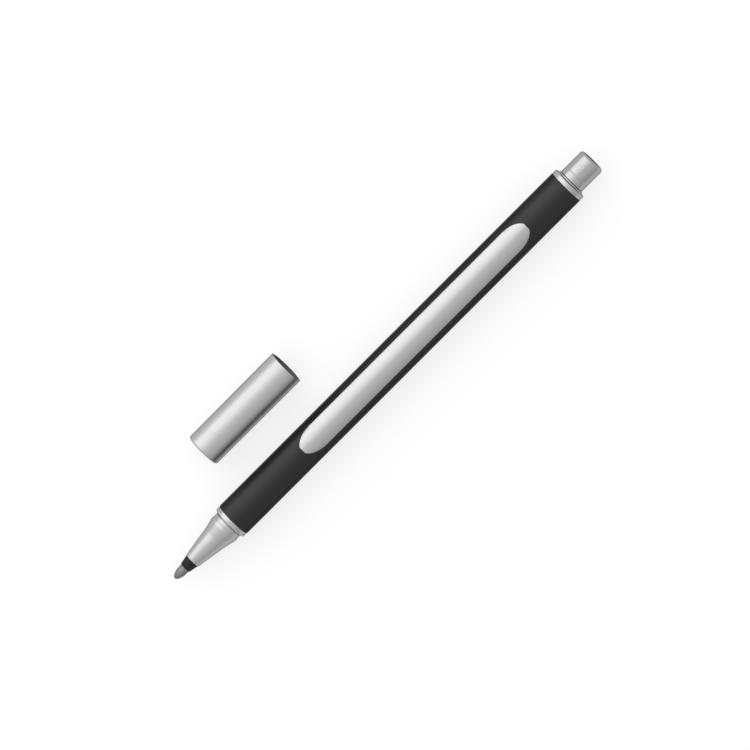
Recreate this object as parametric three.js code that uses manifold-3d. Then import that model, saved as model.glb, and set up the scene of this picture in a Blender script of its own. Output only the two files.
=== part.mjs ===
// A fibre-tipped marker lying beside its pulled-off cap. Millimetres, +Z up.
// The pen lies along X with its nib at -X, and the cap lies parallel to it on the +Y side.
// Every turned outline is written as [radius, distance along the axis, size of the rounded corner].
import * as THREE from 'three';
import { mergeVertices } from 'three/addons/utils/BufferGeometryUtils.js';
import Module from 'manifold-3d';

// Fineness of the round shapes
const SIDES = 36;
const CORNER_STEPS = 3;
const BULLET_STEPS = 6;
const WINDOW_END_STEPS = 6;

// What shows of each piece along the pen, in order from the nib's tip to the rear end
const NIB_EXPOSED = 3.9;
const HOLDER_EXPOSED = 2.7;
const CONE_LENGTH = 8.7;
const FLARE_LENGTH = 3.1;
const NECK_LENGTH = 1.8;
const RING_LENGTH = 1.42;
const SLEEVE_LENGTH = 123.3;
const COLLAR_LENGTH = 1.2;
const SHOULDER_LENGTH = 0.5;
const LIP_LENGTH = 0.15;
const PLUG_EXPOSED = 7.88;

// Fits between pieces
const RADIAL_FIT = 0.05;
const END_GAP = 0.05;
const SHADOW_GAP = 0.25;
const RESERVOIR_PLAY = 0.15;

// Barrel, from its outside inwards
const BARREL_RADIUS = 5.1;
const SLEEVE_THICKNESS = 0.5;
const SLEEVE_EDGE = 0.1;
const CORE_WALL = 0.65;
const RING_STEP = 0.12;
const RING_EDGE = 0.4;
const COLLAR_STEP = 0.07;
const COLLAR_EDGE = 0.12;
const REAR_LIP = 0.15;

// The window in the sleeve and the raised silver panel that fills it
const WINDOW_FROM_SLEEVE_FRONT = 26.2;
const WINDOW_LENGTH = 82.9;
const WINDOW_HALF_WIDTH = 3.42;
const WINDOW_END_LENGTH = 5.8;
const WINDOW_TIP_HALF_WIDTH = 0.95;
const PANEL_GAP = 0.1;
const PANEL_RECESS = 0.08;

// Nib and nib holder
const NIB_RADIUS = 1.35;
const BULLET_LENGTH = 2.6;
const BULLET_FULLNESS = 1.6;
const NIB_PLUNGE = 6;
const NIB_REAR_EDGE = 0.3;
const HOLDER_LIP = 0.15;
const HOLDER_WALL = 0.38;
const HOLDER_STEP = 0.32;
const SHANK_LENGTH = 11;
const SHANK_EDGE = 0.12;
const VENT_COUNT = 4;
const VENT_WIDTH = 0.5;
const VENT_DEPTH = 0.18;

// Front section
const SECTION_LIP = 0.15;
const SECTION_TIP_EDGE = 0.12;
const CONE_SLOPE = 0.155;
const CREST_RISE = 0.2;
const CREST_EDGE = 0.7;
const NECK_STEP = 0.35;
const SPIGOT_LENGTH = 10.8;
const SPIGOT_EDGE = 0.2;
const SPIGOT_WALL = 0.8;
const SOCKET_CONE_LENGTH = 2;

// Ink reservoir and its film
const FILM_CLEARANCE = 0.25;
const FILM_THICKNESS = 0.1;
const RESERVOIR_EDGE = 0.2;

// Rear plug
const PLUG_SPIGOT_LENGTH = 7.3;
const PLUG_STEP = 0.07;
const PLUG_STEP_DEPTH = 0.2;
const PLUG_WALL = 0.9;
const PLUG_END_WALL = 1.4;
const PLUG_END_EDGE = 0.85;

// Cap shell
const CAP_LENGTH = 31.1;
const CAP_TAPER = 0.11;
const CAP_END_EDGE = 0.6;
const CAP_RIM_EDGE = 0.12;
const CAP_END_WALL = 1;
const CAP_CREST_CLEARANCE = 0.06;
const CAP_LEDGE = 0.35;
const BEAD_HALF_LENGTH = 0.4;
const INNER_EDGE = 0.3;

// Cap liner: a ribbed collar that grips the rear plug, and a thimble that seals the nib
const GRIP_LENGTH = 4.6;
const LINER_WEB = 1;
const LINER_COLLAR_WALL = 0.35;
const RIB_COUNT = 8;
const RIB_WIDTH = 0.5;
const RIB_END_SET_BACK = 0.2;
const THIMBLE_WALL = 1;
const THIMBLE_END_WALL = 0.9;
const NIB_ROOM = 1.5;

// How the cap lies beside the pen: between the axes, and from the nib's tip to its closed end
const CAP_SPACING = 18.4;
const CAP_SET_BACK = 29;

// Stations along the pen
const sectionStart = NIB_EXPOSED + HOLDER_EXPOSED;
const kneeAt = sectionStart + CONE_LENGTH;
const crestAt = kneeAt + FLARE_LENGTH;
const neckEnd = crestAt + NECK_LENGTH;
const spigotEnd = neckEnd + SPIGOT_LENGTH;
const shankEnd = sectionStart + SHANK_LENGTH;
const ringStart = neckEnd + SHADOW_GAP;
const ringEnd = ringStart + RING_LENGTH;
const sleeveStart = ringEnd + END_GAP;
const sleeveEnd = sleeveStart + SLEEVE_LENGTH;
const collarStart = sleeveEnd + END_GAP;
const collarEnd = collarStart + COLLAR_LENGTH;
const lipStart = collarEnd + SHOULDER_LENGTH;
const coreEnd = lipStart + LIP_LENGTH;
const penLength = coreEnd + PLUG_EXPOSED;
const plugStart = coreEnd - PLUG_SPIGOT_LENGTH;
const reservoirStart = spigotEnd + RESERVOIR_PLAY;
const reservoirEnd = plugStart - RESERVOIR_PLAY;

// Radii from the barrel inwards
const sleeveBore = BARREL_RADIUS - SLEEVE_THICKNESS;
const coreRadius = sleeveBore - RADIAL_FIT;
const coreBore = coreRadius - CORE_WALL;
const panelRadius = BARREL_RADIUS - PANEL_RECESS;
const spigotRadius = coreBore - RADIAL_FIT;
const neckRadius = spigotRadius + NECK_STEP;
const crestRadius = neckRadius + CREST_RISE;
const plugRadius = spigotRadius - PLUG_STEP;
const filmRadius = coreBore - FILM_CLEARANCE;
const filmBore = filmRadius - FILM_THICKNESS;
const reservoirRadius = filmBore - RADIAL_FIT;

// Radii from the nib outwards
const holderBore = NIB_RADIUS + RADIAL_FIT;
const shankRadius = holderBore + HOLDER_WALL;
const holderRadius = shankRadius + HOLDER_STEP;
const sectionBore = shankRadius + RADIAL_FIT;
const sectionTipRadius = holderRadius + SECTION_LIP;
const kneeRadius = sectionTipRadius + CONE_SLOPE * CONE_LENGTH;

// The cap is measured from its closed end, and a place on the capped pen is turned into that measure
const fromClosedEnd = (along) => CAP_LENGTH - (ringStart - END_GAP - along);
const capBore = crestRadius + CAP_CREST_CLEARANCE;
const beadRadius = (crestRadius + neckRadius) / 2;
const beadAt = fromClosedEnd((crestAt + ringStart) / 2);
const collarMouth = fromClosedEnd(kneeAt);
const webFront = collarMouth - GRIP_LENGTH;
const ledgeAt = webFront - LINER_WEB;
const linerRadius = capBore - RADIAL_FIT;
const linerBore = linerRadius - LINER_COLLAR_WALL;
const ribRadius = plugRadius + RADIAL_FIT;
const sealTip = fromClosedEnd(sectionStart);
const sealTipRadius = sectionTipRadius + RADIAL_FIT;
const sealMouthRadius = sealTipRadius + CONE_SLOPE * (webFront - sealTip);
const chamberEnd = fromClosedEnd(-NIB_ROOM);
const thimbleRadius = sealTipRadius + THIMBLE_WALL;

const SILVER = { color: 0xb4b5b6, roughness: 0.36, metalness: 0.85 };
const SOFT_BLACK = { color: 0x1d1d1e, roughness: 0.62, metalness: 0 };
const BLACK_PLASTIC = { color: 0x18181a, roughness: 0.45, metalness: 0 };
const INKED_FIBRE = { color: 0x5c5c5e, roughness: 0.8, metalness: 0.2 };
const WHITE_FIBRE = { color: 0xdfdcd4, roughness: 0.95, metalness: 0 };
const FILM = { color: 0xeeeeea, roughness: 0.25, metalness: 0 };
const DARK_LINER = { color: 0x3a3a3c, roughness: 0.5, metalness: 0 };

const wasm = await Module();
wasm.setup();

// A closed geometry as a solid that can be joined and cut
function toSolid(geometry) {
  const bare = geometry.clone();
  bare.deleteAttribute('normal');
  bare.deleteAttribute('uv');
  const merged = mergeVertices(bare);
  const triangles = [];
  for (let first = 0; first < merged.index.count; first += 3) {
    const [a, b, c] = merged.index.array.slice(first, first + 3);
    if (a !== b && b !== c && c !== a) {
      triangles.push(a, b, c);
    }
  }
  const vertProperties = new Float32Array(merged.attributes.position.array);
  const triVerts = new Uint32Array(triangles);
  return new wasm.Manifold(new wasm.Mesh({ numProp: 3, vertProperties, triVerts }));
}

function toGeometry(solid) {
  const mesh = solid.getMesh();
  const geometry = new THREE.BufferGeometry();
  geometry.setAttribute('position', new THREE.BufferAttribute(mesh.vertProperties, 3));
  geometry.setIndex(new THREE.BufferAttribute(mesh.triVerts, 1));
  geometry.computeVertexNormals();
  return geometry;
}

function pointToward(corner, target, distance) {
  const reach = Math.min(distance, corner.distanceTo(target) / 2);
  return target.clone().sub(corner).setLength(reach).add(corner);
}

// Corners with a size become smooth curves, which start and end at that distance from the corner
function roundedOutline(corners) {
  const places = corners.map(([radius, along]) => new THREE.Vector2(radius, along));
  const points = [];
  corners.forEach(([, , size = 0], index) => {
    const corner = places[index];
    if (size === 0) {
      points.push(corner);
      return;
    }
    const before = pointToward(corner, places[index - 1], size);
    const after = pointToward(corner, places[index + 1], size);
    points.push(...new THREE.QuadraticBezierCurve(before, corner, after).getPoints(CORNER_STEPS));
  });
  return points;
}

// Turned about Y. The flats of the many-sided shape lie at the true radius, so it rests on a flat.
function turned(points) {
  const toVertex = 1 / Math.cos(Math.PI / SIDES);
  const profile = points.map((point) => new THREE.Vector2(point.x * toVertex, point.y));
  return new THREE.LatheGeometry(profile, SIDES, Math.PI / SIDES);
}

function turnedSolid(corners) {
  return turned(roundedOutline(corners));
}

function turnedRing(corners) {
  const points = roundedOutline(corners);
  points.push(points[0].clone());
  return turned(points);
}

// A bar that stands off the Y axis at the given angle, between two radii
function radialBar(innerRadius, outerRadius, width, start, end, angle) {
  const bar = new THREE.BoxGeometry(outerRadius - innerRadius, end - start, width);
  bar.translate((innerRadius + outerRadius) / 2, (start + end) / 2, 0);
  return toSolid(bar.rotateY(angle));
}

// The window's outline, drawn smaller by the inset, as a bar right through the barrel
function windowBar(inset) {
  const halfWidth = WINDOW_HALF_WIDTH - inset;
  const tipHalfWidth = Math.min(WINDOW_TIP_HALF_WIDTH, halfWidth / 2);
  const endLength = Math.min(WINDOW_END_LENGTH, WINDOW_LENGTH / 2) - inset;
  const tipAngle = Math.acos(tipHalfWidth / halfWidth);
  const reach = endLength * Math.sin(tipAngle);
  const front = sleeveStart + WINDOW_FROM_SLEEVE_FRONT + inset + reach;
  const rear = sleeveStart + WINDOW_FROM_SLEEVE_FRONT + WINDOW_LENGTH - inset - reach;
  const shape = new THREE.Shape();
  shape.absellipse(0, rear, halfWidth, endLength, 0, tipAngle);
  shape.absellipse(0, rear, halfWidth, endLength, Math.PI - tipAngle, Math.PI);
  shape.absellipse(0, front, halfWidth, endLength, Math.PI, Math.PI + tipAngle);
  shape.absellipse(0, front, halfWidth, endLength, 2 * Math.PI - tipAngle, 2 * Math.PI);
  const depth = 4 * BARREL_RADIUS;
  const bar = new THREE.ExtrudeGeometry(shape, {
    depth,
    bevelEnabled: false,
    curveSegments: WINDOW_END_STEPS,
  });
  return toSolid(bar.translate(0, 0, -depth / 2));
}

function nib() {
  const points = [new THREE.Vector2(0, 0)];
  for (let step = 1; step <= BULLET_STEPS; step += 1) {
    const along = BULLET_LENGTH * (step / BULLET_STEPS) ** 2;
    const radius = NIB_RADIUS * Math.sqrt(1 - (1 - along / BULLET_LENGTH) ** BULLET_FULLNESS);
    points.push(new THREE.Vector2(radius, along));
  }
  const end = reservoirStart + NIB_PLUNGE;
  points.push(new THREE.Vector2(NIB_RADIUS, end - NIB_REAR_EDGE));
  points.push(new THREE.Vector2(NIB_RADIUS - NIB_REAR_EDGE, end));
  points.push(new THREE.Vector2(0, end));
  return turned(points);
}

function nibHolder() {
  const shoulder = sectionStart - END_GAP;
  let solid = toSolid(turnedRing([
    [holderBore, NIB_EXPOSED],
    [holderBore + HOLDER_LIP, NIB_EXPOSED],
    [holderRadius, shoulder],
    [shankRadius, shoulder],
    [shankRadius, shankEnd, SHANK_EDGE],
    [holderBore, shankEnd],
  ]));
  const ventFloor = shankRadius - VENT_DEPTH;
  for (let vent = 0; vent < VENT_COUNT; vent += 1) {
    const angle = (2 * Math.PI * vent) / VENT_COUNT;
    const groove = radialBar(ventFloor, holderRadius, VENT_WIDTH, shoulder, shankEnd + END_GAP, angle);
    solid = solid.subtract(groove);
  }
  return toGeometry(solid);
}

function frontSection() {
  const socketRadius = spigotRadius - SPIGOT_WALL;
  return turnedRing([
    [sectionBore, sectionStart],
    [sectionTipRadius, sectionStart, SECTION_TIP_EDGE],
    [kneeRadius, kneeAt],
    [crestRadius, crestAt, CREST_EDGE],
    [neckRadius, neckEnd],
    [spigotRadius, neckEnd],
    [spigotRadius, spigotEnd, SPIGOT_EDGE],
    [socketRadius, spigotEnd],
    [socketRadius, shankEnd + SOCKET_CONE_LENGTH],
    [sectionBore, shankEnd],
  ]);
}

function barrelCore() {
  const ringRadius = BARREL_RADIUS - RING_STEP;
  const collarRadius = BARREL_RADIUS - COLLAR_STEP;
  const tube = toSolid(turnedRing([
    [coreBore, ringStart],
    [ringRadius, ringStart, RING_EDGE],
    [ringRadius, ringEnd],
    [coreRadius, ringEnd],
    [coreRadius, collarStart],
    [collarRadius, collarStart],
    [collarRadius, collarEnd, COLLAR_EDGE],
    [coreBore + REAR_LIP, lipStart],
    [coreBore + REAR_LIP, coreEnd],
    [coreBore, coreEnd],
  ]));
  const panels = toSolid(turnedRing([
    [coreRadius - CORE_WALL / 2, sleeveStart],
    [panelRadius, sleeveStart],
    [panelRadius, sleeveEnd],
    [coreRadius - CORE_WALL / 2, sleeveEnd],
  ])).intersect(windowBar(PANEL_GAP));
  return toGeometry(tube.add(panels));
}

function barrelSleeve() {
  const skin = toSolid(turnedRing([
    [sleeveBore, sleeveStart],
    [BARREL_RADIUS, sleeveStart, SLEEVE_EDGE],
    [BARREL_RADIUS, sleeveEnd, SLEEVE_EDGE],
    [sleeveBore, sleeveEnd],
  ]));
  return toGeometry(skin.subtract(windowBar(0)));
}

function inkReservoir() {
  const holeEnd = reservoirStart + NIB_PLUNGE + END_GAP;
  return turnedSolid([
    [0, holeEnd],
    [holderBore, holeEnd],
    [holderBore, reservoirStart],
    [reservoirRadius, reservoirStart, RESERVOIR_EDGE],
    [reservoirRadius, reservoirEnd, RESERVOIR_EDGE],
    [0, reservoirEnd],
  ]);
}

function reservoirFilm() {
  return turnedRing([
    [filmBore, reservoirStart],
    [filmRadius, reservoirStart],
    [filmRadius, reservoirEnd],
    [filmBore, reservoirEnd],
  ]);
}

function rearPlug() {
  const hollowRadius = spigotRadius - PLUG_WALL;
  const hollowEnd = penLength - PLUG_END_WALL;
  return turnedSolid([
    [0, hollowEnd],
    [hollowRadius, hollowEnd, INNER_EDGE],
    [hollowRadius, plugStart],
    [spigotRadius, plugStart, SPIGOT_EDGE],
    [spigotRadius, coreEnd - PLUG_STEP_DEPTH],
    [plugRadius, coreEnd - PLUG_STEP_DEPTH],
    [plugRadius, penLength, PLUG_END_EDGE],
    [0, penLength],
  ]);
}

function capShell() {
  return turnedSolid([
    [0, 0],
    [BARREL_RADIUS - CAP_TAPER, 0, CAP_END_EDGE],
    [BARREL_RADIUS, CAP_LENGTH, CAP_RIM_EDGE],
    [capBore, CAP_LENGTH, CAP_RIM_EDGE],
    [capBore, beadAt + BEAD_HALF_LENGTH],
    [beadRadius, beadAt],
    [capBore, beadAt - BEAD_HALF_LENGTH],
    [capBore, ledgeAt],
    [capBore - CAP_LEDGE, ledgeAt],
    [capBore - CAP_LEDGE, CAP_END_WALL, INNER_EDGE],
    [0, CAP_END_WALL],
  ]);
}

function capLiner() {
  const flangeBack = ledgeAt + END_GAP;
  let solid = toSolid(turnedSolid([
    [0, chamberEnd - THIMBLE_END_WALL],
    [thimbleRadius, chamberEnd - THIMBLE_END_WALL, INNER_EDGE],
    [thimbleRadius, flangeBack],
    [linerRadius, flangeBack],
    [linerRadius, collarMouth],
    [linerBore, collarMouth],
    [linerBore, webFront],
    [sealMouthRadius, webFront],
    [sealTipRadius, sealTip],
    [sealTipRadius, chamberEnd, INNER_EDGE],
    [0, chamberEnd],
  ]));
  const ribBack = webFront - LINER_WEB / 2;
  const ribFront = collarMouth - RIB_END_SET_BACK;
  const ribRoot = (linerBore + linerRadius) / 2;
  for (let rib = 0; rib < RIB_COUNT; rib += 1) {
    const angle = (2 * Math.PI * (rib + 0.5)) / RIB_COUNT;
    solid = solid.add(radialBar(ribRadius, ribRoot, RIB_WIDTH, ribBack, ribFront, angle));
  }
  return toGeometry(solid);
}

function piece(name, geometry, look) {
  const mesh = new THREE.Mesh(geometry, new THREE.MeshStandardMaterial(look));
  mesh.name = name;
  return mesh;
}

// Stands the pieces along Y, then lays them down so that their Y runs along +X
function laidDown(pieces, alongX, acrossY) {
  const group = new THREE.Group();
  group.add(...pieces);
  group.rotation.z = -Math.PI / 2;
  group.position.set(alongX, acrossY, BARREL_RADIUS);
  return group;
}

const pen = laidDown([
  piece('nib', nib(), INKED_FIBRE),
  piece('nib_holder', nibHolder(), BLACK_PLASTIC),
  piece('front_section', frontSection(), SILVER),
  piece('barrel_core', barrelCore(), SILVER),
  piece('barrel_sleeve', barrelSleeve(), SOFT_BLACK),
  piece('ink_reservoir', inkReservoir(), WHITE_FIBRE),
  piece('reservoir_film', reservoirFilm(), FILM),
  piece('rear_plug', rearPlug(), SILVER),
], -penLength / 2, -CAP_SPACING / 2);

const cap = laidDown([
  piece('cap_shell', capShell(), SILVER),
  piece('cap_liner', capLiner(), DARK_LINER),
], CAP_SET_BACK - penLength / 2, CAP_SPACING / 2);

const marker = new THREE.Group();
marker.add(pen, cap);

export default marker;
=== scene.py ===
"""The looks of a fibre-tipped marker that lies beside its pulled-off cap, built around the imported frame."""

from math import acos, asin, cos, hypot, pi, radians, sin, sqrt, tan

import bmesh
import bpy
from mathutils import Matrix, Vector


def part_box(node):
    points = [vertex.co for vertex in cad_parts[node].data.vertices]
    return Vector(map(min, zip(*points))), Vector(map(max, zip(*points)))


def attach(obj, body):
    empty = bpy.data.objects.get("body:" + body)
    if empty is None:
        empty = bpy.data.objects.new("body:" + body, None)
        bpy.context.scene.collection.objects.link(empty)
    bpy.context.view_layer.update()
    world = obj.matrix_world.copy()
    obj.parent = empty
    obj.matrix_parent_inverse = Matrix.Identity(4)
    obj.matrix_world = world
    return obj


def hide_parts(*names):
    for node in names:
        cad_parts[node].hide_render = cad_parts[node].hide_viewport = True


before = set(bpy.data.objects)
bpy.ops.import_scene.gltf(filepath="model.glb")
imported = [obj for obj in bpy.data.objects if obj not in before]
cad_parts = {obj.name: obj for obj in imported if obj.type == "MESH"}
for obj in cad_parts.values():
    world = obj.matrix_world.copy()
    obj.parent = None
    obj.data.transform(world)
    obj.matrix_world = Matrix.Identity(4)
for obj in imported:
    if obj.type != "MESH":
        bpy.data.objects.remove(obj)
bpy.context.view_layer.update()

MM = 0.001

# Fineness of the meshes
ROUND_STEPS = 144
CORNER_STEPS = 6
BULLET_STEPS = 24
SIDE_COLUMNS = 40
TIP_COLUMNS = 6
END_STEPS = 20
STRAIGHT_STEPS = 28
EDGE_STEPS = 5
SHARP_ANGLE = radians(38)
WELD_DISTANCE = MM / 10000

# Play and edges that several pieces share
FIT = 0.05 * MM
FINE_EDGE = 0.04 * MM
INNER_EDGE = 0.3 * MM

# Nib and its holder
BULLET_LENGTH = 2.6 * MM
BULLET_FULLNESS = 1.6
NIB_REAR_EDGE = 0.3 * MM
HOLDER_EDGE = 0.06 * MM
HOLDER_LIP = 0.15 * MM
HOLDER_STEP = 0.32 * MM

# Front section
SECTION_TIP_EDGE = 0.1 * MM
SECTION_LIP = 0.15 * MM
CONE_LENGTH = 8.7 * MM
CONE_SLOPE = 0.155
FLARE_LENGTH = 3.1 * MM
NECK_LENGTH = 1.8 * MM
KNEE_EDGE = 0.5 * MM
CREST_EDGE = 0.4 * MM
CREST_RISE = 0.14 * MM
CREST_BACK_LENGTH = 0.45 * MM
CREST_BACK_DROP = 0.1 * MM
NECK_GROOVE_WIDTH = 0.5 * MM
NECK_GROOVE_DEPTH = 0.08 * MM
NECK_GROOVE_EDGE = 0.12 * MM
NECK_EDGE = 0.08 * MM
NECK_STEP = 0.37 * MM
SECTION_WALL = 0.8 * MM

# Barrel
CORE_DEPTH = 0.55 * MM
CORE_WALL = 0.65 * MM
RING_STEP = 0.12 * MM
RING_EDGE = 0.38 * MM
COLLAR_STEP = 0.07 * MM
COLLAR_EDGE = 0.16 * MM
SHOULDER_LENGTH = 0.34 * MM
REAR_LIP = 0.08 * MM
REAR_LIP_LENGTH = 0.24 * MM
SLEEVE_THICKNESS = 0.5 * MM
SLEEVE_EDGE = 0.12 * MM

# The window in the sleeve and the panel in it
WINDOW_FROM_SLEEVE_FRONT = 26.2 * MM
WINDOW_LENGTH = 82.9 * MM
WINDOW_HALF_WIDTH = 3.42 * MM
WINDOW_END_LENGTH = 5.8 * MM
WINDOW_TIP_HALF_WIDTH = 0.95 * MM
WINDOW_EDGE = 0.12 * MM
PANEL_GAP = 0.04 * MM
PANEL_RECESS = 0.05 * MM
PANEL_EDGE = 0.05 * MM

# Rear plug
PLUG_STEP = 0.07 * MM
PLUG_LEAD_IN = 0.2 * MM
PLUG_GROOVE_DEPTH = 0.35 * MM
PLUG_GROOVE_WIDTH = 0.2 * MM
PLUG_END_EDGE = 0.85 * MM
PLUG_LINE_FROM_BARREL = 1.9 * MM
PLUG_LINE_DEPTH = 0.07 * MM
PLUG_LINE_WIDTH = 0.36 * MM
PLUG_WALL = 0.9 * MM
PLUG_END_WALL = 1.4 * MM

# Cap
CAP_TAPER = 0.11 * MM
CAP_END_EDGE = 0.6 * MM
CAP_RIM_EDGE = 0.12 * MM
CAP_END_WALL = 1 * MM
CAP_BORE = 4.46 * MM
CAP_LEDGE = 0.35 * MM
CAP_LEDGE_DEPTH = 10.7 * MM
BEAD_DEPTH = 0.97 * MM
BEAD_HEIGHT = 0.16 * MM
BEAD_HALF_LENGTH = 0.4 * MM

# The cap's liner
LINER_WALL = 0.35 * MM
LINER_EDGE = 0.05 * MM
LINER_GRIP_LENGTH = 4.6 * MM
LINER_FLANGE_LENGTH = 5.55 * MM
SEAL_MOUTH_RADIUS = 2.93 * MM
SEAL_TIP_RADIUS = 2.3 * MM
SEAL_LENGTH = 4.1 * MM
THIMBLE_RADIUS = 3.3 * MM
THIMBLE_END_WALL = 0.9 * MM
RIB_COUNT = 8
RIB_WIDTH = 0.5 * MM
RIB_RADIUS = 3.83 * MM
RIB_SINK = 0.04 * MM
RIB_SET_BACK = 0.08 * MM

# The part of a noise's range that the finishes use
NOISE_RANGE = (0.3, 0.7)

# Silver lacquer on the pen, its plug and its cap
COAT_CLEARNESS = 0.84
PEN_TONE = 0.46
PEN_ROUGHNESS = 0.3
PLUG_TONE = 0.41
PLUG_ROUGHNESS = 0.24
CAP_TONE = 0.475
CAP_ROUGHNESS = 0.38
LACQUER_ROUGHNESS_SPREAD = 0.025
LACQUER_CLOUDS_PER_MM = 0.35
FLAKES_PER_MM = 4.0
FLAKE_CONTRAST = 0.07
FLAKE_HEIGHT = 0.0025 * MM

# Black skin. Its gloss is given seen square on and seen along, and then where it changes between them
SKIN_TONES = (0.003, 0.006)
SKIN_GLOSS = (0.42, 0.04)
SKIN_GLOSS_CHANGE = (0.18, 0.5)
SKIN_ROUGHNESS = (0.4, 0.46)
SKIN_CLOUDS_PER_MM = 0.25
SKIN_GRAINS_PER_MM = 9.0
SKIN_GRAIN_HEIGHT = 0.006 * MM

# Moulded plastic of the nib's holder and the cap's liner
HOLDER_TONE = 0.006
HOLDER_ROUGHNESS = 0.4
LINER_TONE = 0.09
LINER_ROUGHNESS = 0.45
PLASTIC_CONTRAST = 0.15
PLASTIC_GLOSS = (0.26, 0.06)
PLASTIC_GLOSS_CHANGE = (0.2, 0.6)
PLASTIC_ROUGHNESS_SPREAD = 0.05
PLASTIC_CLOUDS_PER_MM = 0.6
PLASTIC_GRAINS_PER_MM = 5.0
PLASTIC_GRAIN_HEIGHT = 0.004 * MM

# Fibre of the nib, which is soaked with metallic ink, and of the reservoir
NIB_TONES = (0.14, 0.29)
NIB_METALLIC = 0.85
RESERVOIR_TONES = (0.38, 0.5)
RESERVOIR_METALLIC = 0.0
FIBRE_ROUGHNESS = 0.5
STRANDS_PER_MM = 6.0
STRAND_STRETCH = (0.12, 1, 1)
STRAND_HEIGHT = 0.03 * MM

# Film round the reservoir
FILM_TONES = (0.7, 0.82)
FILM_ROUGHNESS = 0.22
CREASES_PER_MM = 0.8
CREASE_STRETCH = (0.2, 1, 1)
CREASE_HEIGHT = 0.01 * MM

# Floor
FLOOR_HALF = 2000 * MM
FLOOR_TONES = (0.94, 0.95)
FLOOR_ROUGHNESS = 0.9
FLOOR_PATCHES_PER_MM = 0.002
FLOOR_WHITE_SHARE = 0.72

# World: its level at the horizon, and what it gains straight up and towards the key light
HORIZON_LEVEL = 0.75
ZENITH_RISE = 0.28
KEY_SIDE_RISE = 0.2

# Key light: angles are from straight up, and each step is (high edge, level) over one shared low edge
KEY_DISTANCE = 600 * MM
KEY_LENGTH = 850 * MM
KEY_LOW_EDGE = radians(78)
KEY_STEPS = ((radians(5), 0.42), (radians(25), 0.33), (radians(45), 0.22))

# Camera: where the picture's centre falls, and how far the camera stands towards the pen's rear
PICTURE_WIDTH = 195.8 * MM
PICTURE_CENTRE_FROM_TIP = 75.12 * MM
PICTURE_CENTRE_ACROSS = 0.54 * MM
CAMERA_DISTANCE = 2000 * MM
CAMERA_TILT = radians(5.6)
SENSOR_WIDTH = 36.0


def span(node):
    """A round node's ends along X and its radius."""
    low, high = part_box(node)
    return low.x, high.x, (high.y - low.y) / 2


def axis_of(node):
    """The Y and Z of a round node's axis."""
    low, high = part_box(node)
    return (low.y + high.y) / 2, (low.z + high.z) / 2


PEN_AXIS = axis_of("nib")
CAP_AXIS = axis_of("cap_shell")
NIB_START, NIB_END, NIB_RADIUS = span("nib")
HOLDER_START, HOLDER_END, HOLDER_RADIUS = span("nib_holder")
SECTION_START, SECTION_END, _ = span("front_section")
CORE_START, CORE_END, _ = span("barrel_core")
SLEEVE_START, SLEEVE_END, BARREL_RADIUS = span("barrel_sleeve")
PLUG_START, PLUG_END, SPIGOT_RADIUS = span("rear_plug")
CAP_START, CAP_END, CAP_RADIUS = span("cap_shell")
LINER_START, LINER_END, LINER_RADIUS = span("cap_liner")


def around(axis, x, radius, angle):
    """A point at that angle from straight up about a line along X."""
    return Vector((x, axis[0] + radius * sin(angle), axis[1] + radius * cos(angle)))


def corner_arc(before, corner, after, size):
    """A round corner, which starts and ends at that distance from the corner."""
    to_before = (before - corner).normalized()
    to_after = (after - corner).normalized()
    start = corner + to_before * size
    half = to_before.angle(to_after) / 2
    middle = (to_before + to_after).normalized()
    centre = corner + middle * (size / cos(half))
    first = start - centre
    last = corner + to_after * size - centre
    steps = [step / CORNER_STEPS for step in range(CORNER_STEPS + 1)]
    return [centre + first.slerp(last, step) * first.length for step in steps]


def rounded(corners, closed):
    """Points of an outline, from corners of (x, radius) or (x, radius, size of the round corner)."""
    places = [Vector(corner[:2]) for corner in corners]
    points = []
    for index, corner in enumerate(corners):
        size = corner[2] if len(corner) > 2 else 0
        if size == 0 or (not closed and index in (0, len(corners) - 1)):
            points.append(places[index])
            continue
        before = places[index - 1]
        after = places[(index + 1) % len(places)]
        points.extend(corner_arc(before, places[index], after, size))
    return points


class Body:
    """Collects grids of points and makes one closed mesh object of them."""

    def __init__(self):
        self.mesh = bmesh.new()

    def grid(self, rows):
        """Faces between rows that hold the same number of points."""
        made = [[self.mesh.verts.new(point) for point in row] for row in rows]
        for near, far in zip(made, made[1:]):
            for column in range(len(near) - 1):
                corners = (near[column], near[column + 1], far[column + 1], far[column])
                self.mesh.faces.new(corners)

    def turn(self, axis, outline, closed):
        """A body turned about a line along X. An outline that isn't closed starts and ends on the line."""
        angles = [2 * pi * step / ROUND_STEPS for step in range(ROUND_STEPS + 1)]
        if closed:
            outline = outline + [outline[0]]
        self.grid([[around(axis, x, radius, angle) for angle in angles] for x, radius in outline])

    def bar(self, axis, start, end, inner, outer, width, angle):
        """A bar along X that stands off the line, between two radii."""
        low = Vector((start, -width / 2, inner))
        high = Vector((end, width / 2, outer))
        made = bmesh.ops.create_cube(self.mesh, size=1)["verts"]
        turn = Matrix.Rotation(-angle, 4, "X")
        place = Matrix.Translation((0, axis[0], axis[1])) @ turn @ Matrix.Translation((low + high) / 2)
        bmesh.ops.transform(self.mesh, matrix=place @ Matrix.Diagonal((*(high - low), 1)), verts=made)

    def finish(self, name):
        bmesh.ops.remove_doubles(self.mesh, verts=self.mesh.verts, dist=WELD_DISTANCE)
        bmesh.ops.dissolve_degenerate(self.mesh, edges=self.mesh.edges, dist=WELD_DISTANCE)
        bmesh.ops.recalc_face_normals(self.mesh, faces=self.mesh.faces)
        data = bpy.data.meshes.new(name)
        self.mesh.to_mesh(data)
        self.mesh.free()
        data.shade_smooth()
        data.set_sharp_from_angle(angle=SHARP_ANGLE)
        made = bpy.data.objects.new(name, data)
        bpy.context.scene.collection.objects.link(made)
        weighted = made.modifiers.new("even_normals", "WEIGHTED_NORMAL")
        weighted.keep_sharp = True
        return made


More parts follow.
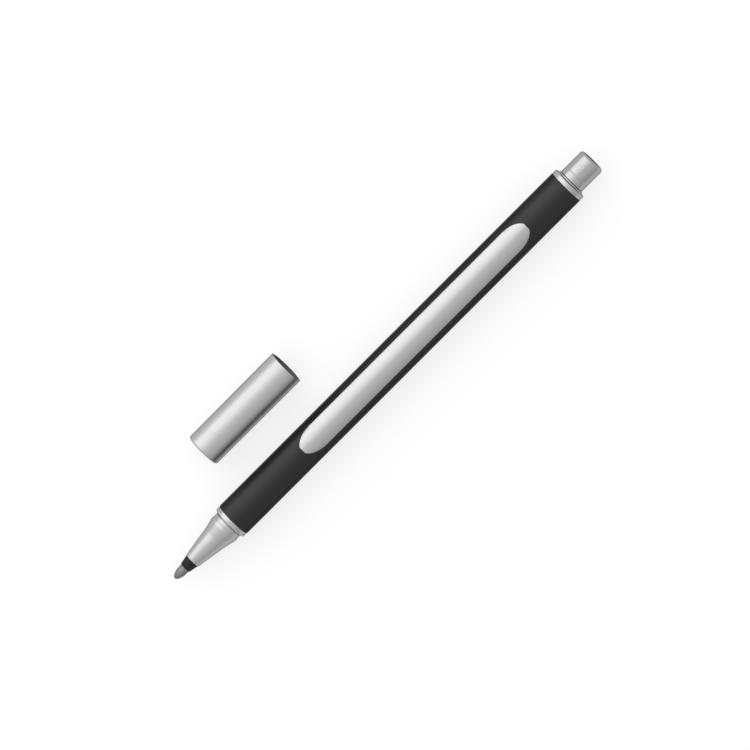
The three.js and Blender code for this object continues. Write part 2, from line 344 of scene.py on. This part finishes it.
def turned_solid(name, axis, corners):
    """A turned piece whose outline starts and ends on the axis."""
    body = Body()
    body.turn(axis, rounded(corners, False), False)
    return body.finish(name)


def turned_ring(name, axis, corners):
    """A turned piece that is open all along the axis."""
    body = Body()
    body.turn(axis, rounded(corners, True), True)
    return body.finish(name)


# The window's outline, on the sleeve's skin rolled out flat: x along the pen, and across


def window_half(front):
    """From the middle of the window's tip to where its side runs straight, at the front or the rear end."""
    tip_angle = acos(WINDOW_TIP_HALF_WIDTH / WINDOW_HALF_WIDTH)
    reach = WINDOW_END_LENGTH * sin(tip_angle)
    direction = -1 if front else 1
    window_start = SLEEVE_START + WINDOW_FROM_SLEEVE_FRONT
    bend = window_start + reach if front else window_start + WINDOW_LENGTH - reach
    tip_x = bend + direction * reach
    points = [(tip_x, WINDOW_TIP_HALF_WIDTH * step / (TIP_COLUMNS / 2)) for step in range(TIP_COLUMNS // 2)]
    for step in range(END_STEPS + 1):
        angle = tip_angle * (1 - step / END_STEPS)
        x = bend + direction * WINDOW_END_LENGTH * sin(angle)
        points.append((x, WINDOW_HALF_WIDTH * cos(angle)))
    return points


def window_side():
    """The outline's +Y half, from the middle of the front tip to the middle of the rear tip."""
    front = window_half(True)
    rear = window_half(False)
    start, end = front[-1][0], rear[-1][0]
    straight = [
        (start + (end - start) * step / STRAIGHT_STEPS, WINDOW_HALF_WIDTH)
        for step in range(1, STRAIGHT_STEPS)
    ]
    flat = front + straight + rear[::-1]
    return [(x, BARREL_RADIUS * asin(across / BARREL_RADIUS)) for x, across in flat]


def inset(side, distance):
    """The half outline moved inwards by a distance, or outwards by a negative one."""
    moved = []
    for index, (x, across) in enumerate(side):
        before = side[index - 1] if index > 0 else (x, -side[1][1])
        after = side[index + 1] if index < len(side) - 1 else (x, -side[-2][1])
        into = (x - before[0], across - before[1])
        out_of = (after[0] - x, after[1] - across)
        normals = [(d[1] / hypot(*d), -d[0] / hypot(*d)) for d in (into, out_of)]
        total = (normals[0][0] + normals[1][0], normals[0][1] + normals[1][1])
        share = 2 * distance / (total[0] ** 2 + total[1] ** 2)
        moved.append((x + total[0] * share, across + total[1] * share))
    return moved


def edge_loops(side, outer_radius, edge, depth, outward):
    """Half outlines with their radii, from the skin over a round edge and down the wall."""
    loops = []
    for step in range(EDGE_STEPS + 1):
        angle = pi / 2 * step / EDGE_STEPS
        shift = edge * (1 - sin(angle))
        radius = outer_radius - edge * (1 - cos(angle))
        loops.append((inset(side, -shift if outward else shift), radius))
    loops.append((side, outer_radius - depth))
    return loops


def whole_loop(side, radius, facing):
    """Points round a whole window, from its half outline. Facing is 0 at the top and pi at the bottom."""
    right = [around(PEN_AXIS, x, radius, facing + across / BARREL_RADIUS) for x, across in side]
    left = [around(PEN_AXIS, x, radius, facing - across / BARREL_RADIUS) for x, across in side]
    return right + left[::-1][1:]


def row_across(x, radius, across, facing):
    """Points from one side of a window's outline to the other."""
    shares = [-1 + 2 * column / TIP_COLUMNS for column in range(TIP_COLUMNS + 1)]
    return [around(PEN_AXIS, x, radius, facing + share * across / BARREL_RADIUS) for share in shares]


def row_beside(x, radius, across, direction):
    """Points round one side of the pen, from one window's outline to the other's."""
    edge = across / BARREL_RADIUS
    angles = [edge + (pi - 2 * edge) * column / SIDE_COLUMNS for column in range(SIDE_COLUMNS + 1)]
    return [around(PEN_AXIS, x, radius, direction * angle) for angle in angles]


def without_tips(side):
    """The half outline without the points along its two blunt tips."""
    tip = TIP_COLUMNS // 2
    return side[tip:-tip]


# Pieces of the pen


def make_nib():
    points = [Vector((NIB_START, 0))]
    for step in range(1, BULLET_STEPS + 1):
        along = BULLET_LENGTH * (step / BULLET_STEPS) ** 2
        radius = NIB_RADIUS * sqrt(1 - (1 - along / BULLET_LENGTH) ** BULLET_FULLNESS)
        points.append(Vector((NIB_START + along, radius)))
    points.append(Vector((NIB_END - NIB_REAR_EDGE, NIB_RADIUS)))
    points.append(Vector((NIB_END, NIB_RADIUS - NIB_REAR_EDGE)))
    points.append(Vector((NIB_END, 0)))
    body = Body()
    body.turn(PEN_AXIS, points, False)
    return body.finish("marker_nib")


def make_nib_holder():
    bore = NIB_RADIUS + FIT
    shank = HOLDER_RADIUS - HOLDER_STEP
    shoulder = SECTION_START - FIT
    return turned_ring("marker_nib_holder", PEN_AXIS, [
        (HOLDER_START, bore, HOLDER_EDGE),
        (HOLDER_START, bore + HOLDER_LIP, HOLDER_EDGE),
        (shoulder, HOLDER_RADIUS, HOLDER_EDGE),
        (shoulder, shank),
        (HOLDER_END, shank, HOLDER_EDGE),
        (HOLDER_END, bore),
    ])


def make_front_section():
    bore = HOLDER_RADIUS - HOLDER_STEP + FIT
    tip = HOLDER_RADIUS + SECTION_LIP
    knee = SECTION_START + CONE_LENGTH
    crest = knee + FLARE_LENGTH
    groove = crest + CREST_BACK_LENGTH
    neck = crest + NECK_LENGTH
    spigot = SPIGOT_RADIUS
    outside = spigot + NECK_STEP
    socket = spigot - SECTION_WALL
    return turned_ring("marker_front_section", PEN_AXIS, [
        (SECTION_START, bore),
        (SECTION_START, tip, SECTION_TIP_EDGE),
        (knee, tip + CONE_SLOPE * CONE_LENGTH, KNEE_EDGE),
        (crest, outside + CREST_RISE, CREST_EDGE),
        (groove, outside + CREST_RISE - CREST_BACK_DROP),
        (groove + NECK_GROOVE_WIDTH / 2, outside - NECK_GROOVE_DEPTH, NECK_GROOVE_EDGE),
        (groove + NECK_GROOVE_WIDTH, outside, NECK_GROOVE_EDGE),
        (neck, outside, NECK_EDGE),
        (neck, spigot),
        (SECTION_END, spigot, NECK_EDGE),
        (SECTION_END, socket),
        (HOLDER_END + FLARE_LENGTH, socket),
        (HOLDER_END, bore),
    ])


def make_barrel_core():
    """The silver tube, with a panel that stands up into each of the sleeve's two windows."""
    tube = BARREL_RADIUS - CORE_DEPTH
    bore = tube - CORE_WALL
    ring = BARREL_RADIUS - RING_STEP
    collar = BARREL_RADIUS - COLLAR_STEP
    lip = CORE_END - REAR_LIP_LENGTH
    body = Body()
    body.turn(PEN_AXIS, rounded([
        (CORE_START, bore),
        (CORE_START, ring, RING_EDGE),
        (SLEEVE_START - FIT, ring, FINE_EDGE),
        (SLEEVE_START - FIT, tube),
        (SLEEVE_END + FIT, tube),
        (SLEEVE_END + FIT, collar, FINE_EDGE),
        (lip - SHOULDER_LENGTH, collar, COLLAR_EDGE),
        (lip, bore + REAR_LIP, FINE_EDGE),
        (CORE_END, bore + REAR_LIP, FINE_EDGE),
        (CORE_END, bore),
    ], True), True)
    panel_side = inset(window_side(), PANEL_GAP)
    panel_radius = BARREL_RADIUS - PANEL_RECESS
    loops = edge_loops(panel_side, panel_radius, PANEL_EDGE, panel_radius - tube + PANEL_EDGE, False)
    for facing in (0, pi):
        body.grid([whole_loop(side, radius, facing) for side, radius in loops])
        for side, radius in (loops[0], loops[-1]):
            body.grid([row_across(x, radius, across, facing) for x, across in without_tips(side)])
    return body.finish("marker_barrel_core")


def make_barrel_sleeve():
    """A skin with two windows. Its rows run round the pen, and stop at the windows' edges."""
    bore = BARREL_RADIUS - SLEEVE_THICKNESS
    body = Body()
    loops = edge_loops(window_side(), BARREL_RADIUS, WINDOW_EDGE, SLEEVE_THICKNESS, True)
    for facing in (0, pi):
        body.grid([whole_loop(side, radius, facing) for side, radius in loops])
    ends = rounded([
        (SLEEVE_START, bore),
        (SLEEVE_START, BARREL_RADIUS, SLEEVE_EDGE),
        (SLEEVE_END, BARREL_RADIUS, SLEEVE_EDGE),
        (SLEEVE_END, bore),
    ], True)
    half = len(ends) // 2
    outer = without_tips(loops[0][0])
    inner = without_tips(loops[-1][0])
    front_width, rear_width = outer[0][1], outer[-1][1]
    front_rows = [(x, radius, front_width) for x, radius in ends[:half]]
    outer_rows = [(x, BARREL_RADIUS, across) for x, across in outer]
    rear_rows = [(x, radius, rear_width) for x, radius in ends[half:]]
    inner_rows = [(x, bore, across) for x, across in inner]
    add_skin(body, front_rows, outer_rows, rear_rows)
    add_skin(body, [(SLEEVE_START, bore, front_width)], inner_rows, [(SLEEVE_END, bore, rear_width)])
    return body.finish("marker_barrel_sleeve")


def add_skin(body, front_rows, window_rows, rear_rows):
    """Both sides of the windows and the strips past their tips, from (x, radius, half the width there)."""
    for direction in (1, -1):
        body.grid([row_beside(*row, direction) for row in front_rows + window_rows + rear_rows])
    for facing in (0, pi):
        for rows in (front_rows + window_rows[:1], window_rows[-1:] + rear_rows):
            body.grid([row_across(*row, facing) for row in rows])


def make_rear_plug():
    spigot = SPIGOT_RADIUS
    plug = spigot - PLUG_STEP
    hollow = spigot - PLUG_WALL
    line = CORE_END + PLUG_LINE_FROM_BARREL
    return turned_solid("marker_rear_plug", PEN_AXIS, [
        (PLUG_END - PLUG_END_WALL, 0),
        (PLUG_END - PLUG_END_WALL, hollow, INNER_EDGE),
        (PLUG_START, hollow),
        (PLUG_START, spigot, PLUG_LEAD_IN),
        (CORE_END, spigot, FINE_EDGE),
        (CORE_END + PLUG_GROOVE_WIDTH / 2, plug - PLUG_GROOVE_DEPTH),
        (CORE_END + PLUG_GROOVE_WIDTH, plug, FINE_EDGE),
        (line, plug, FINE_EDGE),
        (line + PLUG_LINE_WIDTH / 2, plug - PLUG_LINE_DEPTH),
        (line + PLUG_LINE_WIDTH, plug, FINE_EDGE),
        (PLUG_END, plug, PLUG_END_EDGE),
        (PLUG_END, 0),
    ])


# Pieces of the cap


def make_cap_shell():
    bead = CAP_END - BEAD_DEPTH
    ledge = CAP_END - CAP_LEDGE_DEPTH
    return turned_solid("marker_cap_shell", CAP_AXIS, [
        (CAP_START, 0),
        (CAP_START, CAP_RADIUS - CAP_TAPER, CAP_END_EDGE),
        (CAP_END, CAP_RADIUS, CAP_RIM_EDGE),
        (CAP_END, CAP_BORE, CAP_RIM_EDGE),
        (bead + BEAD_HALF_LENGTH, CAP_BORE),
        (bead, CAP_BORE - BEAD_HEIGHT, BEAD_HALF_LENGTH / 2),
        (bead - BEAD_HALF_LENGTH, CAP_BORE),
        (ledge, CAP_BORE),
        (ledge, CAP_BORE - CAP_LEDGE),
        (CAP_START + CAP_END_WALL, CAP_BORE - CAP_LEDGE, INNER_EDGE),
        (CAP_START + CAP_END_WALL, 0),
    ])


def make_cap_liner():
    """A ribbed collar that grips the plug, and behind it a thimble that seals the nib."""
    flange = LINER_END - LINER_FLANGE_LENGTH
    web = LINER_END - LINER_GRIP_LENGTH
    bore = LINER_RADIUS - LINER_WALL
    body = Body()
    body.turn(CAP_AXIS, rounded([
        (LINER_START, 0),
        (LINER_START, THIMBLE_RADIUS, INNER_EDGE),
        (flange, THIMBLE_RADIUS),
        (flange, LINER_RADIUS),
        (LINER_END, LINER_RADIUS, LINER_EDGE),
        (LINER_END, bore, LINER_EDGE),
        (web, bore),
        (web, SEAL_MOUTH_RADIUS, LINER_EDGE),
        (web - SEAL_LENGTH, SEAL_TIP_RADIUS),
        (LINER_START + THIMBLE_END_WALL, SEAL_TIP_RADIUS, INNER_EDGE),
        (LINER_START + THIMBLE_END_WALL, 0),
    ], False), False)
    start, end = web - RIB_SINK, LINER_END - RIB_SET_BACK
    for rib in range(RIB_COUNT):
        angle = 2 * pi * (rib + 0.5) / RIB_COUNT
        body.bar(CAP_AXIS, start, end, RIB_RADIUS, bore + RIB_SINK, RIB_WIDTH, angle)
    return body.finish("marker_cap_liner")


# Materials


def grey(value):
    return (value, value, value, 1)


def new_material(name):
    """A material, with its nodes, its links and its shader."""
    material = bpy.data.materials.new(name)
    material.use_nodes = True
    nodes = material.node_tree.nodes
    return material, nodes, material.node_tree.links, nodes["Principled BSDF"]


def noise(nodes, links, per_mm, detail, stretch=(1, 1, 1)):
    """Noise on the object's own coordinates, with that many features in a millimetre."""
    place = nodes.new("ShaderNodeTexCoord")
    mapping = nodes.new("ShaderNodeMapping")
    mapping.inputs["Scale"].default_value = [per_mm / MM * side for side in stretch]
    texture = nodes.new("ShaderNodeTexNoise")
    texture.inputs["Scale"].default_value = 1.0
    texture.inputs["Detail"].default_value = detail
    links.new(place.outputs["Object"], mapping.inputs["Vector"])
    links.new(mapping.outputs["Vector"], texture.inputs["Vector"])
    return texture.outputs["Fac"]


def carry_over(nodes, links, source, before, after):
    """Carries one range of values over to another, each of them as (start, end)."""
    node = nodes.new("ShaderNodeMapRange")
    node.inputs["From Min"].default_value = before[0]
    node.inputs["From Max"].default_value = before[1]
    node.inputs["To Min"].default_value = after[0]
    node.inputs["To Max"].default_value = after[1]
    links.new(source, node.inputs["Value"])
    return node.outputs["Result"]


def spread(nodes, links, source, low, high):
    """The middle of a noise's range, stretched over low to high."""
    return carry_over(nodes, links, source, NOISE_RANGE, (low, high))


def colour(nodes, links, source, dark, light, shader):
    """Two greys that a noise mixes, as the shader's base colour."""
    mix = nodes.new("ShaderNodeMix")
    mix.data_type = "RGBA"
    mix.inputs["A"].default_value = grey(dark)
    mix.inputs["B"].default_value = grey(light)
    links.new(spread(nodes, links, source, 0, 1), mix.inputs["Factor"])
    links.new(mix.outputs["Result"], shader.inputs["Base Color"])


def roughen(nodes, links, source, low, high, shader):
    links.new(spread(nodes, links, source, low, high), shader.inputs["Roughness"])


def bump(nodes, links, source, height, shader):
    node = nodes.new("ShaderNodeBump")
    node.inputs["Strength"].default_value = 1.0
    node.inputs["Distance"].default_value = height
    links.new(source, node.inputs["Height"])
    links.new(node.outputs["Normal"], shader.inputs["Normal"])


def gloss(nodes, links, levels, change, shader):
    """Gloss that goes from a level on surfaces seen square on to another on surfaces seen along."""
    weight = nodes.new("ShaderNodeLayerWeight")
    weight.inputs["Blend"].default_value = 0.5
    level = carry_over(nodes, links, weight.outputs["Facing"], change, levels)
    links.new(level, shader.inputs["Specular IOR Level"])


def silver_lacquer(name, tone, roughness):
    """Satin lacquer: fine metal flakes deep in a smoky clear coat, which dims a slanted view."""
    material, nodes, links, shader = new_material(name)
    shader.inputs["Metallic"].default_value = 1.0
    shader.inputs["Coat Weight"].default_value = 1.0
    shader.inputs["Coat IOR"].default_value = 1.0
    shader.inputs["Coat Roughness"].default_value = roughness
    shader.inputs["Coat Tint"].default_value = grey(COAT_CLEARNESS)
    flakes = noise(nodes, links, FLAKES_PER_MM, detail=4.0)
    clouds = noise(nodes, links, LACQUER_CLOUDS_PER_MM, detail=5.0)
    bare = tone / COAT_CLEARNESS
    colour(nodes, links, flakes, bare * (1 - FLAKE_CONTRAST), bare * (1 + FLAKE_CONTRAST), shader)
    smoothest, roughest = roughness - LACQUER_ROUGHNESS_SPREAD, roughness + LACQUER_ROUGHNESS_SPREAD
    roughen(nodes, links, clouds, smoothest, roughest, shader)
    bump(nodes, links, flakes, FLAKE_HEIGHT, shader)
    return material


def soft_touch():
    """Black elastomer with a velvety fine grain."""
    material, nodes, links, shader = new_material("soft_touch_black")
    grain = noise(nodes, links, SKIN_GRAINS_PER_MM, detail=6.0)
    clouds = noise(nodes, links, SKIN_CLOUDS_PER_MM, detail=4.0)
    colour(nodes, links, grain, *SKIN_TONES, shader)
    gloss(nodes, links, SKIN_GLOSS, SKIN_GLOSS_CHANGE, shader)
    roughen(nodes, links, clouds, *SKIN_ROUGHNESS, shader)
    bump(nodes, links, grain, SKIN_GRAIN_HEIGHT, shader)
    return material


def moulded(name, tone, roughness):
    """Plain moulded plastic with the faint texture of its mould."""
    material, nodes, links, shader = new_material(name)
    grain = noise(nodes, links, PLASTIC_GRAINS_PER_MM, detail=5.0)
    clouds = noise(nodes, links, PLASTIC_CLOUDS_PER_MM, detail=4.0)
    colour(nodes, links, grain, tone * (1 - PLASTIC_CONTRAST), tone * (1 + PLASTIC_CONTRAST), shader)
    gloss(nodes, links, PLASTIC_GLOSS, PLASTIC_GLOSS_CHANGE, shader)
    smoothest, roughest = roughness - PLASTIC_ROUGHNESS_SPREAD, roughness + PLASTIC_ROUGHNESS_SPREAD
    roughen(nodes, links, clouds, smoothest, roughest, shader)
    bump(nodes, links, grain, PLASTIC_GRAIN_HEIGHT, shader)
    return material


def fibre(name, tones, metallic):
    """Bundled fibre that runs along the pen."""
    material, nodes, links, shader = new_material(name)
    shader.inputs["Metallic"].default_value = metallic
    shader.inputs["Specular Tint"].default_value = grey(0)
    shader.inputs["Roughness"].default_value = FIBRE_ROUGHNESS
    strands = noise(nodes, links, STRANDS_PER_MM, detail=6.0, stretch=STRAND_STRETCH)
    colour(nodes, links, strands, *tones, shader)
    bump(nodes, links, strands, STRAND_HEIGHT, shader)
    return material


def creased_film():
    material, nodes, links, shader = new_material("clear_film")
    shader.inputs["Roughness"].default_value = FILM_ROUGHNESS
    creases = noise(nodes, links, CREASES_PER_MM, detail=4.0, stretch=CREASE_STRETCH)
    colour(nodes, links, creases, *FILM_TONES, shader)
    bump(nodes, links, creases, CREASE_HEIGHT, shader)
    return material


def pale_floor():
    """Part of what the camera and the gloss see of the floor is plain white, so its shadows stay light."""
    material, nodes, links, shader = new_material("pale_floor")
    shader.inputs["Roughness"].default_value = FLOOR_ROUGHNESS
    shader.inputs["Specular IOR Level"].default_value = 0.0
    patches = noise(nodes, links, FLOOR_PATCHES_PER_MM, detail=2.0)
    colour(nodes, links, patches, *FLOOR_TONES, shader)
    white = nodes.new("ShaderNodeEmission")
    white.inputs["Strength"].default_value = 1.0
    path = nodes.new("ShaderNodeLightPath")
    seen = path.outputs["Is Camera Ray"]
    for ray in ("Is Glossy Ray", "Is Transmission Ray"):
        either = nodes.new("ShaderNodeMath")
        either.operation = "MAXIMUM"
        links.new(seen, either.inputs[0])
        links.new(path.outputs[ray], either.inputs[1])
        seen = either.outputs[0]
    share = nodes.new("ShaderNodeMath")
    share.operation = "MULTIPLY"
    share.inputs[1].default_value = FLOOR_WHITE_SHARE
    links.new(seen, share.inputs[0])
    mix = nodes.new("ShaderNodeMixShader")
    links.new(share.outputs[0], mix.inputs["Fac"])
    links.new(shader.outputs["BSDF"], mix.inputs[1])
    links.new(white.outputs["Emission"], mix.inputs[2])
    links.new(mix.outputs["Shader"], nodes["Material Output"].inputs["Surface"])
    return material


# The pieces in their finishes


def paint(piece, *materials):
    for material in materials:
        piece.data.materials.append(material)


def dress(piece, body, nodes, slot, *materials):
    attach(piece, body)
    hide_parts(*nodes)
    paint(piece, *materials)


def darken_inside(shell):
    """The cap's rim and inside get the second material, a dark plastic: partly the bare plastic's own colour,
    partly painted shade inside the mouth and on the rim.
    """
    for face in shell.data.polygons:
        radius = hypot(face.center.y - CAP_AXIS[0], face.center.z - CAP_AXIS[1])
        along = (face.center.x - CAP_START) / (CAP_END - CAP_START)
        outside = CAP_RADIUS - CAP_TAPER * (1 - along)
        near_closed_end = face.center.x < CAP_START + CAP_END_WALL / 2
        on_rim = face.center.x > CAP_END - CAP_RIM_EDGE / 2
        if not near_closed_end and (on_rim or radius < outside - CAP_RIM_EDGE):
            face.material_index = 1


silver = silver_lacquer("silver_lacquer", PEN_TONE, PEN_ROUGHNESS)
plug_silver = silver_lacquer("plug_silver", PLUG_TONE, PLUG_ROUGHNESS)
cap_silver = silver_lacquer("cap_silver", CAP_TONE, CAP_ROUGHNESS)
black_skin = soft_touch()
holder_plastic = moulded("black_plastic", HOLDER_TONE, HOLDER_ROUGHNESS)
liner_plastic = moulded("liner_plastic", LINER_TONE, LINER_ROUGHNESS)
nib_fibre = fibre("nib_fibre", NIB_TONES, NIB_METALLIC)
reservoir_fibre = fibre("reservoir_fibre", RESERVOIR_TONES, RESERVOIR_METALLIC)

dress(make_nib(), "pen", ["nib"], "nib_fibre", nib_fibre)
dress(make_nib_holder(), "pen", ["nib_holder"], "black_plastic", holder_plastic)
dress(make_front_section(), "pen", ["front_section"], "silver_plastic", silver)
dress(make_barrel_core(), "pen", ["barrel_core"], "silver_plastic", silver)
dress(make_barrel_sleeve(), "pen", ["barrel_sleeve"], "soft_black", black_skin)
dress(make_rear_plug(), "pen", ["rear_plug"], "silver_plastic", plug_silver)
cap_shell = make_cap_shell()
dress(cap_shell, "cap", ["cap_shell"], "silver_plastic", cap_silver, liner_plastic)
# The dark rim and inside are partly painted shade, standing in for the shade in the cap's mouth
darken_inside(cap_shell)
dress(make_cap_liner(), "cap", ["cap_liner"], "liner_plastic", liner_plastic)

for node, material in (("ink_reservoir", reservoir_fibre), ("reservoir_film", creased_film())):
    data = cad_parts[node].data
    data.materials.clear()
    data.materials.append(material)


# Floor, light and camera


def make_floor():
    body = Body()
    corners = [-FLOOR_HALF, FLOOR_HALF]
    body.grid([[Vector((x, y, 0)) for y in corners] for x in corners])
    floor = body.finish("floor")
    paint(floor, pale_floor())


def make_key_lights():
    """A long soft light beside the cap, parallel to the pen, that grows brighter towards its low edge."""
    for step, (high_edge, level) in enumerate(KEY_STEPS):
        middle = (KEY_LOW_EDGE + high_edge) / 2
        data = bpy.data.lights.new(f"key_light_{step}", "AREA")
        data.shape = "RECTANGLE"
        data.size = KEY_LENGTH
        data.size_y = 2 * KEY_DISTANCE * tan((KEY_LOW_EDGE - high_edge) / 2)
        data.energy = level * pi * data.size * data.size_y
        light = bpy.data.objects.new(data.name, data)
        away = Vector((0, sin(middle), cos(middle)))
        side = Vector((1, 0, 0))
        turn = Matrix((side, away.cross(side), away)).transposed().to_4x4()
        light.matrix_world = Matrix.Translation(away * KEY_DISTANCE) @ turn
        bpy.context.scene.collection.objects.link(light)


def make_world():
    """A plain studio that grows brighter straight up and towards the key light's side."""
    world = bpy.data.worlds.new("studio")
    world.use_nodes = True
    nodes, links = world.node_tree.nodes, world.node_tree.links
    place = nodes.new("ShaderNodeTexCoord")
    apart = nodes.new("ShaderNodeSeparateXYZ")
    links.new(place.outputs["Generated"], apart.inputs["Vector"])
    sideways = nodes.new("ShaderNodeMath")
    sideways.operation = "MULTIPLY_ADD"
    sideways.inputs[1].default_value = KEY_SIDE_RISE
    sideways.inputs[2].default_value = HORIZON_LEVEL
    links.new(apart.outputs["Y"], sideways.inputs[0])
    upwards = nodes.new("ShaderNodeMath")
    upwards.operation = "MULTIPLY_ADD"
    upwards.inputs[1].default_value = ZENITH_RISE
    links.new(apart.outputs["Z"], upwards.inputs[0])
    links.new(sideways.outputs[0], upwards.inputs[2])
    background = nodes["Background"]
    background.inputs["Color"].default_value = grey(1)
    links.new(upwards.outputs[0], background.inputs["Strength"])
    bpy.context.scene.world = world


def make_camera():
    data = bpy.data.cameras.new("camera")
    data.sensor_width = SENSOR_WIDTH
    data.lens = SENSOR_WIDTH * CAMERA_DISTANCE / PICTURE_WIDTH
    camera = bpy.data.objects.new("camera", data)
    aim = Vector((NIB_START + PICTURE_CENTRE_FROM_TIP, PEN_AXIS[0] + PICTURE_CENTRE_ACROSS, PEN_AXIS[1]))
    back = Vector((sin(CAMERA_TILT), 0, cos(CAMERA_TILT)))
    along = Vector((cos(CAMERA_TILT), 0, -sin(CAMERA_TILT)))
    across = Vector((0, 1, 0))
    right = (along - across).normalized()
    up = (along + across).normalized()
    turn = Matrix((right, up, back)).transposed().to_4x4()
    camera.matrix_world = Matrix.Translation(aim + back * CAMERA_DISTANCE) @ turn
    bpy.context.scene.collection.objects.link(camera)
    bpy.context.scene.camera = camera


make_floor()
make_key_lights()
make_world()
make_camera()
bpy.context.scene.view_settings.view_transform = "Standard"
